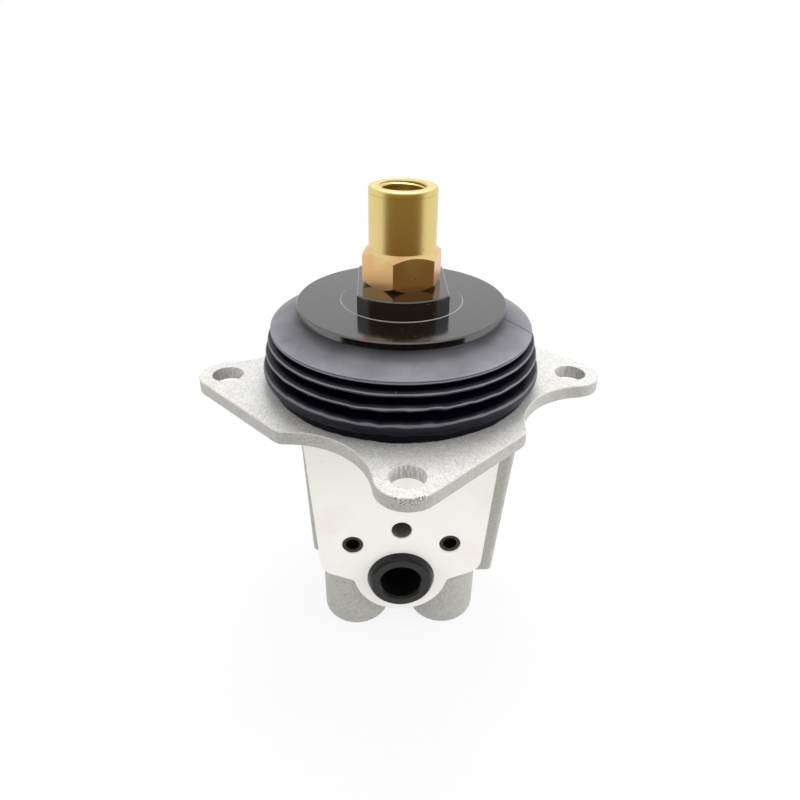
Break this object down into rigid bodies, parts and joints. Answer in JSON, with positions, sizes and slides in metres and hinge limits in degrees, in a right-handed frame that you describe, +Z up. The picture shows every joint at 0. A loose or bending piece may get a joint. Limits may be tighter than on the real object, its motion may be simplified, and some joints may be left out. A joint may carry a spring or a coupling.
{
  "type": "hydraulic pilot joystick valve",
  "caption": "Hydraulic pilot joystick valve: cast body with eared flange, bellows boot, tilting cam disc and threaded lever nut over spring-returned metering plungers.",
  "frame": {"origin": "on the lever axis at the flange's underside, in the middle of the four ear holes", "axes": "+Z up along the lever towards the coupling nut; -Y out of the front face with the pressure port; the ears lie on the X and Y axes"},
  "size_m": [0.1316, 0.1316, 0.1498],
  "materials": {
    "cast_aluminium": "fine sand-cast grain, machined bright on the front face",
    "black_plastic": "smooth moulded",
    "black_plug": "dull black",
    "copper": "dull copper plated",
    "zinc_plate": "zinc plated",
    "boot_rubber": "satin moulded rubber",
    "joint_steel": "turned steel",
    "ground_steel": "ground",
    "black_gloss": "gloss black",
    "yellow_zinc": "yellow chromate zinc plate",
    "bronze": "turned bronze",
    "seal_rubber": "moulded",
    "spring_steel": "drawn wire"
  },
  "bodies": {
    "root": {"valve_body": "cast_aluminium", "front_port_plug": "black_plastic", "side_port_plug": "black_plastic", "gallery_plug_left": "black_plug", "gallery_plug_right": "black_plug", "gallery_ball": "copper", "retaining_plate": "zinc_plate", "boot": "boot_rubber", "lower_yoke": "joint_steel", "guide_bush_1": "bronze", "guide_bush_2": "bronze", "guide_bush_3": "bronze", "guide_bush_4": "bronze", "rod_seal_1": "seal_rubber", "rod_seal_2": "seal_rubber", "rod_seal_3": "seal_rubber", "rod_seal_4": "seal_rubber", "bush_o_ring_1": "seal_rubber", "bush_o_ring_2": "seal_rubber", "bush_o_ring_3": "seal_rubber", "bush_o_ring_4": "seal_rubber", "return_spring_1": "spring_steel", "return_spring_2": "spring_steel", "return_spring_3": "spring_steel", "return_spring_4": "spring_steel"},
    "cross": {"joint_block": "joint_steel", "long_pin": "ground_steel", "short_pin_left": "ground_steel", "short_pin_right": "ground_steel"},
    "lever": {"upper_yoke": "joint_steel", "cam_disc": "black_gloss", "coupling_nut": "yellow_zinc"},
    "plunger_1": {"plunger_1": "ground_steel", "spring_seat_1": "ground_steel", "metering_spring_1": "spring_steel", "spool_1": "ground_steel"},
    "plunger_2": {"plunger_2": "ground_steel", "spring_seat_2": "ground_steel", "metering_spring_2": "spring_steel", "spool_2": "ground_steel"},
    "plunger_3": {"plunger_3": "ground_steel", "spring_seat_3": "ground_steel", "metering_spring_3": "spring_steel", "spool_3": "ground_steel"},
    "plunger_4": {"plunger_4": "ground_steel", "spring_seat_4": "ground_steel", "metering_spring_4": "spring_steel", "spool_4": "ground_steel"}
  },
  "joints": [
    {"name": "tilt_a", "type": "hinge", "parent": "root", "child": "cross", "pos_m": [0, 0, 0.0218], "axis": [0.7071, 0.7071, 0], "range_deg": [-16, 16], "stiffness_Nm_per_rad": 6, "deforming": ["boot"]},
    {"name": "tilt_b", "type": "hinge", "parent": "cross", "child": "lever", "pos_m": [0, 0, 0.0218], "axis": [-0.7071, 0.7071, 0], "range_deg": [-16, 16], "stiffness_Nm_per_rad": 6, "deforming": ["boot"]},
    {"name": "plunger_1_slide", "type": "slide", "parent": "root", "child": "plunger_1", "axis": [0, 0, 1], "range_m": [-0.0067, 0.0067], "deforming": ["return_spring_1"]},
    {"name": "plunger_2_slide", "type": "slide", "parent": "root", "child": "plunger_2", "axis": [0, 0, 1], "range_m": [-0.0067, 0.0067], "deforming": ["return_spring_2"]},
    {"name": "plunger_3_slide", "type": "slide", "parent": "root", "child": "plunger_3", "axis": [0, 0, 1], "range_m": [-0.0067, 0.0067], "deforming": ["return_spring_3"]},
    {"name": "plunger_4_slide", "type": "slide", "parent": "root", "child": "plunger_4", "axis": [0, 0, 1], "range_m": [-0.0067, 0.0067], "deforming": ["return_spring_4"]}
  ],
  "couplings": [
    {"joint": "plunger_1_slide", "follows": "tilt_b", "m_per_rad": -0.022802},
    {"joint": "plunger_2_slide", "follows": "tilt_a", "m_per_rad": 0.022802},
    {"joint": "plunger_3_slide", "follows": "tilt_b", "m_per_rad": 0.022802},
    {"joint": "plunger_4_slide", "follows": "tilt_a", "m_per_rad": -0.022802}
  ]
}
